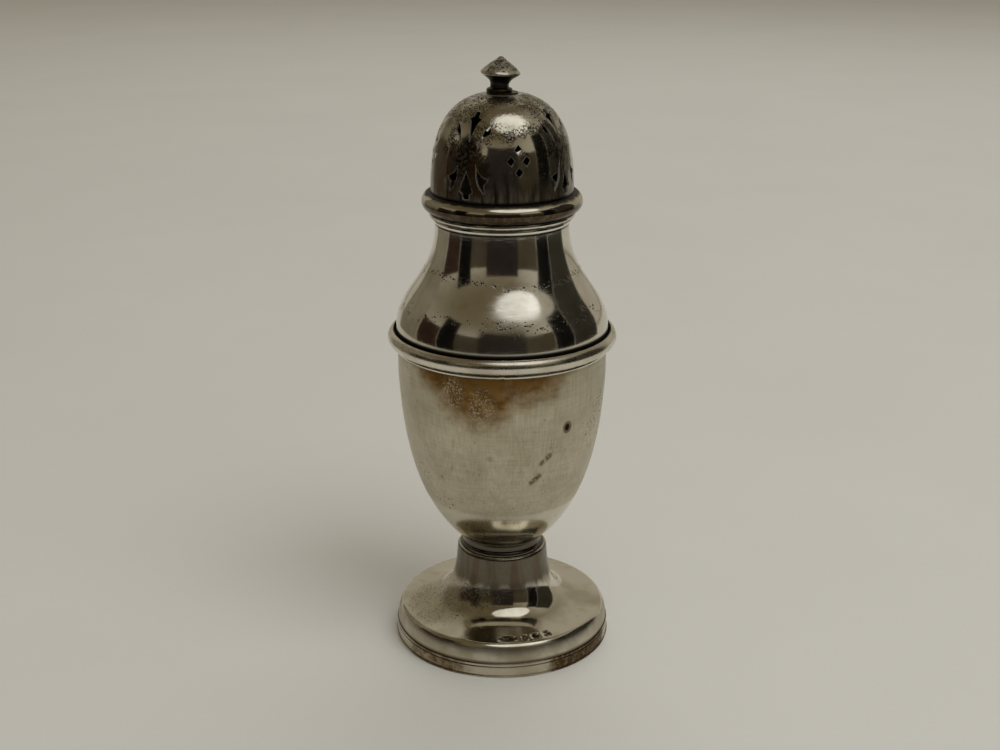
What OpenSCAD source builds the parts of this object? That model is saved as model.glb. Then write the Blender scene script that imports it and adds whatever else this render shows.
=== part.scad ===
// Silver sugar caster: a vase-shaped bowl on a spreading foot, and a lift-off cover with a pierced dome.
// Millimetres, +Z up, with the origin at the middle of the foot's underside.

/* [Sheet] */
// Thickness of the spun sheet of the foot, bowl, shoulder and dome
sheet = 0.6; // [0.5:0.05:0.8]

/* [Foot] */
// Diameter of the foot across its bottom lip
foot_d = 59.2; // [56:0.2:66]
// Height of the upright band that the foot stands on
foot_band_h = 4; // [3:0.1:6]
// Thickness of the upright band
foot_band_t = 1.3; // [1:0.1:2]
// Height of the thin lip at the bottom of the band
foot_lip_h = 0.6; // [0.3:0.1:1]
// Distance that the lip stands proud of the band
foot_lip_proud = 0.25; // [0.1:0.05:0.5]
// Distance that the foot's edge is set back from the band's face
foot_edge_setback = 0.3; // [0.1:0.05:0.5]
// Height of the foot from the table to its top edge
foot_h = 26.2; // [23:0.2:32]
// Diameter of the foot's top edge
foot_top_d = 24.4; // [22:0.2:27]
// Radius of the rounded top edge of the foot
foot_top_round = 1; // [0.5:0.1:1.4]
// Distance that the foot's rolled edge curves inwards
foot_roll_in = 2.2; // [1.8:0.1:2.8]
// Height of the rolled edge above the band
foot_roll_h = 5; // [4.6:0.1:5.4]
// Angle of the foot's slope above level just inside its rolled edge
foot_roll_slope = 6; // [5:1:12]
// Height of the plain stem below the rounded top edge
foot_stem_h = 3.5; // [2.5:0.1:4.5]
// Distance that the plain stem spreads downwards
foot_stem_spread = 0.3; // [0.1:0.05:0.5]

/* [Stem collar] */
// Height of the cove moulding between the foot and the bowl
collar_h = 2.7; // [2:0.1:4]
// Depth of the cove from its bottom edge to its waist
collar_cove = 0.8; // [0.4:0.05:1.2]
// Height of the plain lip at the top and bottom of the cove
collar_lip_h = 0.45; // [0.2:0.05:0.8]
// Thickness of the collar's wall at its bottom edge
collar_t = 2.7; // [2:0.1:4]

/* [Bowl] */
// Height of the bowl from its seat to its mouth
bowl_h = 56.3; // [48:0.5:66]
// Outside diameter of the bowl at its mouth
bowl_d = 54.9; // [48:0.1:62]
// Outside diameter of the bowl's flat seat
bowl_seat_d = 21.6; // [21.4:0.2:26]
// Height of the straight wall below the mouth
bowl_straight_h = 9; // [8.5:0.1:14]
// Angle at which the bowl's wall leaves its seat, above level
bowl_rise_angle = 41; // [35:1:50]

/* [Bowl rim] */
// Radius of the half-round rim moulding
rim_round = 2.1; // [1.6:0.05:2.6]
// Distance that the rim moulding stands proud of the bowl
rim_proud = 2.55; // [2.2:0.05:3]
// Height of the middle of the moulding above the bowl's mouth
rim_rise = 1; // [0.6:0.1:1.3]
// Gap between the cover and the inner edge of the rim moulding
rim_gap = 0.6; // [0.4:0.05:0.8]
// Radius of the thin half-round reed under the rim
reed_round = 0.6; // [0.4:0.05:0.8]

/* [Cover] */
// Height of the cover from its lower edge to the foot of the dome
shoulder_h = 34.4; // [30:0.2:44]
// Distance that the shoulder swells past the bowl's wall
shoulder_swell = 0.35; // [0.1:0.05:0.6]
// Outside diameter of the neck
neck_d = 34.6; // [30:0.2:40]
// Height of the straight neck below the dome
neck_h = 3.6; // [3.4:0.1:6]
// Height of the shoulder's widest point above its lower edge
shoulder_roll_h = 3.3; // [2.5:0.1:4]
// Distance that the shoulder's lower edge rolls inwards
shoulder_roll = 0.8; // [0.4:0.05:0.8]
// Depth of the sleeve in the bowl's mouth
bezel_depth = 8; // [5:0.2:8.2]
// Height of the sleeve inside the shoulder
bezel_grip_h = 4; // [3:0.1:5]
// Thickness of the sleeve
bezel_t = 0.7; // [0.5:0.05:1]
// Slip clearance between the sleeve and the bowl on each side
bezel_clearance = 0.08; // [0.05:0.01:0.1]

/* [Neck rings] */
// Height of the lower wire round the neck
neck_wire_h = 1.5; // [1:0.1:1.6]
// Distance that the lower wire stands proud of the neck
neck_wire_proud = 0.5; // [0.4:0.05:0.9]
// Height of the upper ring round the neck
neck_ring_h = 1.5; // [1.2:0.1:1.7]
// Distance that the upper ring stands proud of the neck
neck_ring_proud = 1.5; // [1.2:0.05:1.8]

/* [Dome] */
// Distance that the foot of the dome stands out from the neck
dome_step = 0.95; // [0.7:0.05:1.1]
// Height of the curved dome above its straight skirt
dome_h = 24.5; // [21:0.5:30]
// Squareness of the dome's curve, where 2 is an ellipse
dome_power = 2.6; // [2.2:0.1:3]
// Diameter of the flat crown that the finial stands on
crown_d = 10; // [9:0.5:11]
// Radius of the half-round wire round the foot of the dome
dome_girdle_round = 2.4; // [1.8:0.05:2.8]

/* [Piercing] */
// Number of pierced sprays round the dome
motif_count = 4; // [3:1:4]
// Turn of the first spray from the front of the caster
motif_turn = -29.5; // [-45:0.5:0]
// Width of one spray
motif_w = 11.2; // [8:0.2:12]
// Height of the lowest piercing above the foot of the dome
motif_bottom = 5.8; // [5.6:0.1:9]
// Depth of the highest piercing below the crown
motif_top = 3; // [2.6:0.1:5]
// Turn from a spray to the group of lozenges beside it
lozenge_turn = 43; // [38:0.5:50]
// Height of the middle of a lozenge group above the foot of the dome
lozenge_z = 15.4; // [12:0.2:17]
// Width of one lozenge
lozenge_w = 2; // [1.2:0.1:2.4]
// Height of one lozenge
lozenge_h = 2.5; // [1.6:0.1:3]
// Distance of a side lozenge from the middle of its group
lozenge_side = 1.95; // [1.7:0.05:2.6]
// Distance of an upper or lower lozenge from the middle of its group
lozenge_rise = 2.7; // [2.3:0.05:3.4]

/* [Finial] */
// Height of the finial above its washer
finial_h = 8.7; // [7.6:0.1:11]
// Diameter of the finial's brim
finial_brim_d = 9.9; // [8.6:0.1:11]
// Height of the brim above the washer
finial_brim_z = 4.5; // [4:0.1:5]
// Thickness of the brim's edge
finial_brim_t = 0.35; // [0.2:0.05:0.6]
// Diameter of the finial's base
finial_base_d = 6.5; // [5.6:0.1:7.4]
// Height of the finial's base disc
finial_base_h = 0.7; // [0.4:0.05:1]
// Diameter of the finial's waist
finial_waist_d = 4.6; // [3.6:0.1:5.2]
// Height of the finial's waist above the washer
finial_waist_z = 1.6; // [1.4:0.1:2]
// Radius of the finial's rounded tip
finial_tip_round = 1.2; // [0.8:0.05:1.6]
// Diameter of the washer under the finial
washer_d = 8; // [7.6:0.1:8.8]
// Thickness of the washer
washer_t = 0.4; // [0.3:0.05:0.6]
// Diameter of the peg that holds the finial
peg_d = 2.4; // [1.6:0.1:3]
// Length of the peg inside the crown
peg_end = 0.6; // [0.3:0.1:1.2]

/* [Hidden] */

// Roundness of turned faces, and points along a long, a usual and a short curve of an outline
$fn = 96;
many_steps = 32;
steps = 16;
few_steps = 6;

// Heights of the seams, from the table up
foot_seat_z = foot_band_h;
foot_top_z = foot_h;
bowl_seat_z = foot_top_z + collar_h;
mouth_z = bowl_seat_z + bowl_h;
dome_z = mouth_z + shoulder_h;
skirt_h = 2 * dome_girdle_round;
crown_z = dome_z + skirt_h + dome_h;
finial_z = crown_z + washer_t;

// Radii of the seams
band_r = foot_d / 2 - foot_lip_proud;
foot_edge_r = band_r - foot_edge_setback;
foot_top_r = foot_top_d / 2;
stem_bore_r = foot_top_r - foot_top_round - collar_t;
bowl_r = bowl_d / 2;
bore_r = bowl_r - sheet;
bezel_r = bore_r - bezel_clearance;
shoulder_r = bowl_r + shoulder_swell;
rim_inner_r = shoulder_r + rim_gap;
neck_r = neck_d / 2;
dome_r = neck_r + dome_step;
crown_r = crown_d / 2;
peg_r = peg_d / 2;

// Pull of the two ends of each curve, as shares of the distance between them
foot_roll_pull = [0.33, 0.29];
foot_sweep_pull = [0.35, 0.65];
bowl_pull = [0.38, 0.25];
// Lean of the bowl's wall where its straight part begins
bowl_end_lean = [0.06, 1];
shoulder_pull = [0.35, 0.48];
roll_pull = [0.3, 0.5];
collar_pull = [0.4, 0.5];
finial_lower_pull = [0.5, 0.6];
finial_upper_pull = [0.42, 0.3];
finial_head_pull = [0.35, 0.35];
// Directions in which the finial's waist meets its brim, and its head leaves the brim
finial_brim_lean = [1, 0.9];
finial_head_lean = [-0.75, 1];
// Angle round the finial's tip at which its rounding begins
finial_tip_turn = 50;
// Overlap of a cutting shape past the face that it cuts
cut = 1;

// Half outlines of the pierced leaves: width as a share of half the spray, height as a share of the spray
fleur_half = [[0, 0.67], [0.12, 0.83], [0.34, 0.92], [0.13, 0.955], [0.12, 0.985], [0, 1]];
flame_half = [[0, 0], [0.16, 0.03], [0.17, 0.06], [0.34, 0.1], [0.24, 0.17], [0, 0.34]];
upper_leaf = [[0.45, 0.6], [0.5, 0.72], [0.6, 0.81], [0.93, 0.885], [0.86, 0.79], [0.62, 0.72]];
lower_leaf = [[0.42, 0.42], [0.5, 0.25], [0.88, 0.08], [0.83, 0.19], [1, 0.255], [0.7, 0.31]];

function unit(v) = v / norm(v);
function lerp(a, b, share) = a + (b - a) * share;

// Points of an arc whose reach differs across and up, from one angle to another
function arc(middle, reach, from, to) =
    [for (i = [0:few_steps]) let (a = lerp(from, to, i / few_steps))
        middle + [reach[0] * cos(a), reach[1] * sin(a)]];

// Points of a smooth curve from a to b that leaves a along from and reaches b along to
function sweep_curve(a, from, b, to, pull, n = steps) =
    let (
        reach = norm(b - a),
        a2 = a + unit(from) * reach * pull[0],
        b2 = b - unit(to) * reach * pull[1]
    )
    [for (i = [0:n]) let (t = i / n, s = 1 - t)
        s * s * s * a + 3 * s * s * t * a2 + 3 * s * t * t * b2 + t * t * t * b];

// The same outline one sheet thickness further to its left
function inner_face(line, t = sheet) =
    let (last = len(line) - 1)
    [for (i = [0:last]) let (
        along = unit(line[min(i + 1, last)] - line[max(i - 1, 0)])
    ) line[i] + t * [-along[1], along[0]]];

function reversed(line) = [for (i = [len(line) - 1:-1:0]) line[i]];
function join(a, b) = concat(a, [for (i = [1:len(b) - 1]) b[i]]);

// Radius of an upward outline at a height
function radius_at(line, z) = lookup(z, [for (p = line) [p[1], p[0]]]);
function between(line, low, high) = [for (p = line) if (p[1] > low && p[1] < high) p];

// A whole leaf from its half outline, whose first and last points lie on its middle line
function both_sides(half) =
    concat(half, [for (i = [len(half) - 2:-1:1]) [-half[i][0], half[i][1]]]);

// Outline of the dome's curved part, from its skirt to its flat crown
function dome_curve(radius, height, flat_r, base_z) =
    let (
        full_h = height / pow(1 - pow(flat_r / radius, dome_power), 1 / dome_power),
        end = acos(pow(flat_r / radius, dome_power / 2))
    )
    [for (i = [0:steps]) let (a = end * i / steps)
        [radius * pow(cos(a), 2 / dome_power), base_z + full_h * pow(sin(a), 2 / dome_power)]];

module turned(outline) {
    rotate_extrude()
        polygon(outline);
}

module half_round(radius, height, proud, z) {
    rise = (height * height / 4 + proud * proud) / (2 * proud);
    rotate_extrude()
        intersection() {
            translate([radius + proud - rise, z + height / 2])
                circle(rise);
            translate([radius, z])
                square([proud + cut, height]);
        }
}

module foot_rim_band() {
    round = foot_edge_setback;
    color("silver")
        turned(concat(
            [[band_r - foot_band_t, 0]],
            arc([band_r, foot_lip_h / 2], [foot_lip_proud, foot_lip_h / 2], -90, 90),
            arc([band_r - round, foot_seat_z - round], [round, round], 0, 90),
            [[band_r - foot_band_t, foot_seat_z]]
        ));
}

// The foot's outside from its edge on the band to its rounded top edge
function foot_outline() =
    let (
        top = [foot_top_r, foot_top_z - foot_top_round],
        stem = top + [foot_stem_spread, -foot_stem_h],
        roll = [foot_edge_r - foot_roll_in, foot_seat_z + foot_roll_h],
        inwards = [-cos(foot_roll_slope), sin(foot_roll_slope)]
    )
    join(
        sweep_curve([foot_edge_r, foot_seat_z], [0, 1], roll, inwards, foot_roll_pull),
        join(
            sweep_curve(roll, inwards, stem, top - stem, foot_sweep_pull, many_steps),
            [stem, top]
        )
    );

module foot_shell() {
    outside = foot_outline();
    inside = inner_face(outside);
    ceiling = foot_top_z - sheet;
    corner = [foot_top_r - foot_top_round, foot_top_z - foot_top_round];
    color("silver")
        turned(concat(
            join(outside, arc(corner, [foot_top_round, foot_top_round], 0, 90)),
            [[stem_bore_r, foot_top_z], [stem_bore_r, ceiling], [radius_at(inside, ceiling), ceiling]],
            reversed(between(inside, foot_seat_z, ceiling)),
            [[radius_at(inside, foot_seat_z), foot_seat_z]]
        ));
}

module stem_collar() {
    bottom = foot_top_r - foot_top_round;
    waist = bottom - collar_cove;
    color("silver")
        turned(concat(
            [[stem_bore_r, foot_top_z], [bottom, foot_top_z]],
            sweep_curve(
                [bottom, foot_top_z + collar_lip_h], [-1, 0.3],
                [waist, bowl_seat_z - collar_lip_h], [0, 1], collar_pull, few_steps
            ),
            [[waist, bowl_seat_z], [stem_bore_r, bowl_seat_z]]
        ));
}

// The bowl's outside from its seat to its mouth
function bowl_outline() =
    join(
        sweep_curve(
            [bowl_seat_d / 2, bowl_seat_z], [cos(bowl_rise_angle), sin(bowl_rise_angle)],
            [bowl_r, mouth_z - bowl_straight_h], bowl_end_lean, bowl_pull, many_steps
        ),
        [[bowl_r, mouth_z - bowl_straight_h], [bowl_r, mouth_z]]
    );

module bowl() {
    outside = bowl_outline();
    inside = inner_face(outside);
    floor_z = bowl_seat_z + sheet;
    color("silver")
        turned(concat(
            [[0, bowl_seat_z]],
            outside,
            [[bore_r, mouth_z]],
            reversed(between(inside, floor_z, mouth_z)),
            [[radius_at(inside, floor_z), floor_z], [0, floor_z]]
        ));
}

module girdle_reed() {
    color("silver")
        half_round(bowl_r, 2 * reed_round, reed_round, mouth_z + rim_rise - rim_round - 2 * reed_round);
}

module bowl_rim() {
    middle = [bowl_r + rim_proud - rim_round, mouth_z + rim_rise];
    color("silver")
        rotate_extrude()
            difference() {
                translate(middle)
                    circle(rim_round);
                translate([0, mouth_z - 2 * rim_round])
                    square([bowl_r, 4 * rim_round]);
                translate([0, mouth_z])
                    square([rim_inner_r, 4 * rim_round]);
            }
}

module cover_bezel() {
    low = mouth_z - bezel_depth;
    high = mouth_z + bezel_grip_h;
    color("lightgray")
        turned([
            [bezel_r - bezel_t, low], [bezel_r, low], [bezel_r, high], [bezel_r - bezel_t, high]
        ]);
}

// The shoulder's outside from its rolled lower edge to the foot of the dome
function shoulder_outline() =
    let (wide = [shoulder_r, mouth_z + shoulder_roll_h])
    join(
        sweep_curve([shoulder_r - shoulder_roll, mouth_z], [1, 1], wide, [0, 1], roll_pull, few_steps),
        join(
            sweep_curve(wide, [0, 1], [neck_r, dome_z - neck_h], [0, 1], shoulder_pull, many_steps),
            [[neck_r, dome_z - neck_h], [neck_r, dome_z]]
        )
    );

module shoulder() {
    outside = shoulder_outline();
    inside = inner_face(outside);
    grip_z = mouth_z + bezel_grip_h;
    color("whitesmoke")
        turned(concat(
            outside,
            [[neck_r - sheet, dome_z]],
            reversed(between(inside, grip_z, dome_z)),
            [[radius_at(inside, grip_z), grip_z], [bezel_r, grip_z], [bezel_r, mouth_z]]
        ));
}

module neck_wire() {
    color("whitesmoke")
        half_round(neck_r, neck_wire_h, neck_wire_proud, dome_z - neck_ring_h - neck_wire_h);
}

module neck_ring() {
    color("whitesmoke")
        half_round(neck_r, neck_ring_h, neck_ring_proud, dome_z - neck_ring_h);
}

module dome_girdle() {
    color("silver")
        half_round(dome_r, skirt_h, dome_girdle_round, dome_z);
}

// A pierced leaf in the plane of the spray, from shares of its width and height
module leaf(shares) {
    low = dome_z + motif_bottom;
    high = crown_z - motif_top;
    polygon([for (p = shares) [p[0] * motif_w / 2, lerp(low, high, p[1])]]);
}

module spray() {
    leaf(both_sides(fleur_half));
    leaf(both_sides(flame_half));
    for (side = [0, 1])
        mirror([side, 0]) {
            leaf(upper_leaf);
            leaf(lower_leaf);
        }
}

module lozenge(x, z) {
    w = lozenge_w / 2;
    h = lozenge_h / 2;
    polygon([[x - w, z], [x, z - h], [x + w, z], [x, z + h]]);
}

module lozenges() {
    z = dome_z + lozenge_z;
    lozenge(-lozenge_side, z);
    lozenge(lozenge_side, z);
    lozenge(0, z - lozenge_rise);
    lozenge(0, z + lozenge_rise);
}

// A cutter that runs outwards from inside the dome, at a turn from the front
module pierce(turn) {
    inner = crown_r;
    rotate([0, 0, turn])
        translate([0, -inner, 0])
            rotate([90, 0, 0])
                linear_extrude(dome_r + cut - inner)
                    children();
}

module dome() {
    outside = dome_curve(dome_r, dome_h, crown_r, dome_z + skirt_h);
    inside = dome_curve(dome_r - sheet, dome_h - sheet, crown_r, dome_z + skirt_h);
    color("silver")
        difference() {
            turned(concat(
                [[dome_r, dome_z]],
                outside,
                [[peg_r, crown_z], [peg_r, crown_z - sheet]],
                reversed(inside),
                [[dome_r - sheet, dome_z]]
            ));
            for (i = [0:motif_count - 1]) {
                turn = motif_turn + 360 * i / motif_count;
                pierce(turn)
                    spray();
                pierce(turn + lozenge_turn)
                    lozenges();
            }
        }
}

module finial_collar() {
    color("dimgray")
        turned([
            [peg_r, crown_z], [washer_d / 2, crown_z], [washer_d / 2, finial_z], [peg_r, finial_z]
        ]);
}

module finial() {
    base_r = finial_base_d / 2;
    waist = [finial_waist_d / 2, finial_z + finial_waist_z];
    brim = [finial_brim_d / 2, finial_z + finial_brim_z];
    tip = [0, finial_z + finial_h - finial_tip_round];
    head = arc(tip, [finial_tip_round, finial_tip_round], finial_tip_turn, 90);
    tip_lean = [-sin(finial_tip_turn), cos(finial_tip_turn)];
    color("dimgray")
        turned(concat(
            [[0, crown_z - sheet - peg_end], [peg_r, crown_z - sheet - peg_end], [peg_r, finial_z]],
            [[base_r, finial_z], [base_r, finial_z + finial_base_h]],
            sweep_curve(
                [base_r, finial_z + finial_base_h], [-1, 1], waist, [0, 1], finial_lower_pull, few_steps
            ),
            sweep_curve(waist, [0, 1], brim, finial_brim_lean, finial_upper_pull, few_steps),
            join(
                sweep_curve(
                    brim + [0, finial_brim_t], finial_head_lean, head[0], tip_lean, finial_head_pull, few_steps
                ),
                head
            )
        ));
}

foot_rim_band();
foot_shell();
stem_collar();
bowl();
girdle_reed();
bowl_rim();
cover_bezel();
shoulder();
neck_wire();
neck_ring();
dome_girdle();
dome();
finial_collar();
finial();
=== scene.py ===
from math import acos, asin, atan2, cos, degrees, exp, hypot, pi, radians, sin, tau

import bmesh
import bpy
from mathutils import Matrix, Vector, kdtree, noise


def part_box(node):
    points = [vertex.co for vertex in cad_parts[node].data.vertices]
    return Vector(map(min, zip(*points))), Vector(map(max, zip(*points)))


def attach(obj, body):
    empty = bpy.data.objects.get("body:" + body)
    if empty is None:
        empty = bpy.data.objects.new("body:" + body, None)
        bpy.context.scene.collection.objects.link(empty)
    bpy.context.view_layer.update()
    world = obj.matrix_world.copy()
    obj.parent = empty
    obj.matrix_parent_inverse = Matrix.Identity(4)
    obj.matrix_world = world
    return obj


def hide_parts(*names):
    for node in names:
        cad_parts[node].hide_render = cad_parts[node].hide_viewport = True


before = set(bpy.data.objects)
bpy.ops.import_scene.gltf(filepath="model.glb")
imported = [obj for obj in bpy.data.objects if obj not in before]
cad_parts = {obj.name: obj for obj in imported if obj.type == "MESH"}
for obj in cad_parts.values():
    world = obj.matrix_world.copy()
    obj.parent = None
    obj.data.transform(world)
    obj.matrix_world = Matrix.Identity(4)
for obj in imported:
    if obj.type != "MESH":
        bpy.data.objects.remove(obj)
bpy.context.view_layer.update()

MM = 0.001
MICRON = 0.001 * MM
# Points closer than this are welded, and slivers thinner than this are taken out
WELD_GAP = 1e-7
SLIVER = 1e-8


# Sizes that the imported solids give

def low(node):
    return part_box(node)[0].z


def high(node):
    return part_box(node)[1].z


def edges_of(node):
    return low(node), high(node)


def reach(node):
    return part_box(node)[1].x


SHEET = 0.6 * MM
FOOT_SEAT_Z = low("foot_shell")
FOOT_TOP_Z = high("foot_shell")
BOWL_SEAT_Z = low("bowl")
MOUTH_Z = high("bowl")
DOME_Z = low("dome")
SKIRT_Z = high("dome_girdle")
CROWN_Z = high("dome")
FINIAL_Z = high("finial_collar")
TIP_Z = high("finial")
LIP_R = reach("foot_rim_band")
FOOT_EDGE_R = reach("foot_shell")
BOWL_R = reach("bowl")
RIM_R = reach("bowl_rim")
REED_R = reach("girdle_reed")
SHOULDER_R = reach("shoulder")
BEZEL_R = reach("cover_bezel")
NECK_WIRE_R = reach("neck_wire")
NECK_RING_R = reach("neck_ring")
DOME_GIRDLE_R = reach("dome_girdle")
DOME_R = reach("dome")
WASHER_R = reach("finial_collar")
BRIM_R = reach("finial")

# Sizes that lie inside the pieces, as in the part's source
BAND_R = LIP_R - 0.25 * MM
BAND_WALL = 1.3 * MM
FOOT_TOP_R = 12.2 * MM
FOOT_TOP_ROUND = 1.0 * MM
FOOT_ROLL = (2.2 * MM, 5.0 * MM)
FOOT_ROLL_SLOPE = radians(6)
FOOT_STEM = (0.3 * MM, 3.5 * MM)
STEM_BORE_R = 8.5 * MM
COLLAR_COVE = 0.8 * MM
COLLAR_LIP = 0.45 * MM
BOWL_SEAT_R = 10.8 * MM
BOWL_STRAIGHT = 9.0 * MM
BOWL_RISE = radians(41)
NECK_R = 17.3 * MM
NECK_H = 3.6 * MM
SHOULDER_ROLL_H = 3.3 * MM
SHOULDER_ROLL = 0.8 * MM
BEZEL_WALL = 0.7 * MM
CROWN_R = 5.0 * MM
DOME_POWER = 2.6
PEG_R = 1.2 * MM
RIM_ROUND = 2.1 * MM
RIM_RISE = 1.0 * MM
RIM_GAP = 0.6 * MM
# How far each curve keeps to its direction at its two ends, as shares of its span
FOOT_ROLL_PULL = (0.33, 0.29)
FOOT_SWEEP_PULL = (0.35, 0.65)
COLLAR_PULL = (0.4, 0.5)
BOWL_PULL = (0.38, 0.25)
SHOULDER_ROLL_PULL = (0.3, 0.5)
SHOULDER_SWEEP_PULL = (0.35, 0.48)

# Depth of the nick in the front of the reed
REED_NICK = 0.35 * MM
# Row of blank punches: radius of the row, rise of the foot's normal there, depth, and each middle, width and height
PUNCH_ROW_R = 25.0 * MM
FOOT_PUNCH_RISE = radians(83)
PUNCH_DEPTH = 0.2 * MM
PUNCHES = (
    (1.5 * MM, 4.9 * MM, 2.6 * MM), (6.0 * MM, 1.9 * MM, 2.6 * MM),
    (8.9 * MM, 2.5 * MM, 2.6 * MM), (11.8 * MM, 2.2 * MM, 2.6 * MM),
)

# Facets round a plain ring, a plain shell, a shell with worked detail and the punched foot
RING_FACETS = 192
SHELL_FACETS = 288
WORKED_FACETS = 416
FOOT_FACETS = 560


# Outlines, as points of radius and height

def at(radius, z):
    return Vector((radius, z))


def arc(middle, radius, start, end, steps):
    angles = [start + (end - start) * i / steps for i in range(steps + 1)]
    return [middle + at(cos(a), sin(a)) * radius for a in angles]


def smooth_curve(a, leave, b, arrive, pull, steps):
    """A curve that leaves one point and arrives at another in given directions."""
    a, b = Vector(a), Vector(b)
    span = (b - a).length
    a2 = a + Vector(leave).normalized() * span * pull[0]
    b2 = b - Vector(arrive).normalized() * span * pull[1]
    line = []
    for i in range(steps + 1):
        t = i / steps
        s = 1 - t
        line.append(a * s ** 3 + a2 * (3 * s * s * t) + b2 * (3 * s * t * t) + b * t ** 3)
    return line


def straight(a, b, steps):
    return [Vector(a).lerp(Vector(b), i / steps) for i in range(steps + 1)]


def inside_of(line, wall=SHEET):
    found = []
    last = len(line) - 1
    for i, point in enumerate(line):
        along = (line[min(i + 1, last)] - line[max(i - 1, 0)]).normalized()
        found.append(point + at(-along.y, along.x) * wall)
    return found


def eased(points, steps=5):
    """Rounds each corner that carries a third number, by that radius."""
    line = []
    count = len(points)
    for i, point in enumerate(points):
        here = Vector(point[:2])
        if len(point) < 3:
            line.append(here)
            continue
        before = Vector(points[i - 1][:2]) - here
        after = Vector(points[(i + 1) % count][:2]) - here
        start = here + before.normalized() * min(point[2], before.length * 0.48)
        end = here + after.normalized() * min(point[2], after.length * 0.48)
        for k in range(steps + 1):
            t = k / steps
            line.append(start.lerp(here, t).lerp(here.lerp(end, t), t))
    return line


def thinned(line, count):
    return [line[round(i * (len(line) - 1) / (count - 1))] for i in range(count)]


def half_round_outline(radius, outer, z_low, z_high, steps=20):
    """A wire's rounded face with a hidden flat back."""
    proud = outer - radius
    half = (z_high - z_low) / 2
    rise = (half * half + proud * proud) / (2 * proud)
    open_angle = acos(max(-1, min(1, (rise - proud) / rise)))
    return arc(at(outer - rise, (z_low + z_high) / 2), rise, -open_angle, open_angle, steps)


def foot_line():
    """The foot's outside: its rolled edge, the long hollow sweep up from it and the plain stem."""
    edge = at(FOOT_EDGE_R, FOOT_SEAT_Z)
    roll = edge + at(-FOOT_ROLL[0], FOOT_ROLL[1])
    inwards = at(-cos(FOOT_ROLL_SLOPE), sin(FOOT_ROLL_SLOPE))
    top = at(FOOT_TOP_R, FOOT_TOP_Z - FOOT_TOP_ROUND)
    stem = top + at(FOOT_STEM[0], -FOOT_STEM[1])
    line = smooth_curve(edge, (0, 1), roll, inwards, FOOT_ROLL_PULL, 44)
    line += smooth_curve(roll, inwards, stem, top - stem, FOOT_SWEEP_PULL, 80)[1:]
    return line + straight(stem, top, 4)[1:]


def foot_height_at(radius):
    return min(foot_line(), key=lambda p: abs(p.x - radius)).y


def bowl_line(steps=96):
    start = (BOWL_SEAT_R, BOWL_SEAT_Z)
    end = (BOWL_R, MOUTH_Z - BOWL_STRAIGHT)
    curved = smooth_curve(start, (cos(BOWL_RISE), sin(BOWL_RISE)), end, (0.06, 1), BOWL_PULL, steps)
    return curved + straight(end, (BOWL_R, MOUTH_Z), 20)[1:]


def shoulder_line(steps=72):
    wide = (SHOULDER_R, MOUTH_Z + SHOULDER_ROLL_H)
    neck = (NECK_R, DOME_Z - NECK_H)
    roll = smooth_curve((SHOULDER_R - SHOULDER_ROLL, MOUTH_Z), (1, 1), wide, (0, 1), SHOULDER_ROLL_PULL, 12)
    sweep = smooth_curve(wide, (0, 1), neck, (0, 1), SHOULDER_SWEEP_PULL, steps)
    return roll + sweep[1:] + straight(neck, (NECK_R, DOME_Z), 4)[1:]


def whole_dome_rise(radius, rise):
    """Height that the dome's curve would reach on the axis, where the crown is cut flat."""
    return rise / (1 - (CROWN_R / radius) ** DOME_POWER) ** (1 / DOME_POWER)


def dome_radius_at(z):
    share = min(1, max(0, (z - SKIRT_Z) / whole_dome_rise(DOME_R, CROWN_Z - SKIRT_Z)))
    return DOME_R * (1 - share ** DOME_POWER) ** (1 / DOME_POWER)


def dome_line(radius, rise, steps, fine_steps=2000):
    full = whole_dome_rise(radius, rise)
    end = acos((CROWN_R / radius) ** (DOME_POWER / 2))
    power = 2 / DOME_POWER
    angles = [end * i / fine_steps for i in range(fine_steps + 1)]
    return evenly([at(radius * cos(a) ** power, SKIRT_Z + full * sin(a) ** power) for a in angles], steps)


def evenly(line, steps):
    """The same line with points at even distances."""
    runs = [0.0]
    for a, b in zip(line, line[1:]):
        runs.append(runs[-1] + (b - a).length)
    found, k = [], 0
    for i in range(steps + 1):
        want = runs[-1] * i / steps
        while k < len(line) - 2 and runs[k + 1] < want:
            k += 1
        gap = runs[k + 1] - runs[k]
        found.append(line[k].lerp(line[k + 1], (want - runs[k]) / gap if gap else 0))
    return found


# Geometry Nodes that turn an outline about the caster's axis and pierce the dome

class Nodes:
    """A node tree to which nodes are added with their settings and inputs."""

    def __init__(self, tree):
        self.tree = tree

    def add(self, kind, settings=None, **inputs):
        """Adds a node and gives its outputs. An input is named or numbered, and takes a value, an output or a list."""
        node = self.tree.nodes.new(kind)
        for name, value in (settings or {}).items():
            setattr(node, name, value)
        for name, value in inputs.items():
            socket = node.inputs[int(name[1:]) if name[0] == "_" else name.replace("__", " ")]
            for one in value if isinstance(value, list) else [value]:
                if isinstance(one, bpy.types.NodeSocket):
                    self.tree.links.new(one, socket)
                else:
                    socket.default_value = one
        return node.outputs

    def math(self, operation, a, b=0.0, c=0.0):
        return self.add("ShaderNodeMath", {"operation": operation}, _0=a, _1=b, _2=c)[0]

    def mix(self, share, a, b, blend="MIX"):
        return self.add("ShaderNodeMix", {"data_type": "RGBA", "blend_type": blend}, _0=share, _6=a, _7=b)[2]

    def ramp(self, value, start, end):
        """0 at start and 1 at end, eased between."""
        falls = start > end
        return self.add(
            "ShaderNodeMapRange", {"interpolation_type": "SMOOTHSTEP"}, Value=value,
            From__Min=min(start, end), From__Max=max(start, end), To__Min=float(falls), To__Max=float(not falls),
        )[0]


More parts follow.
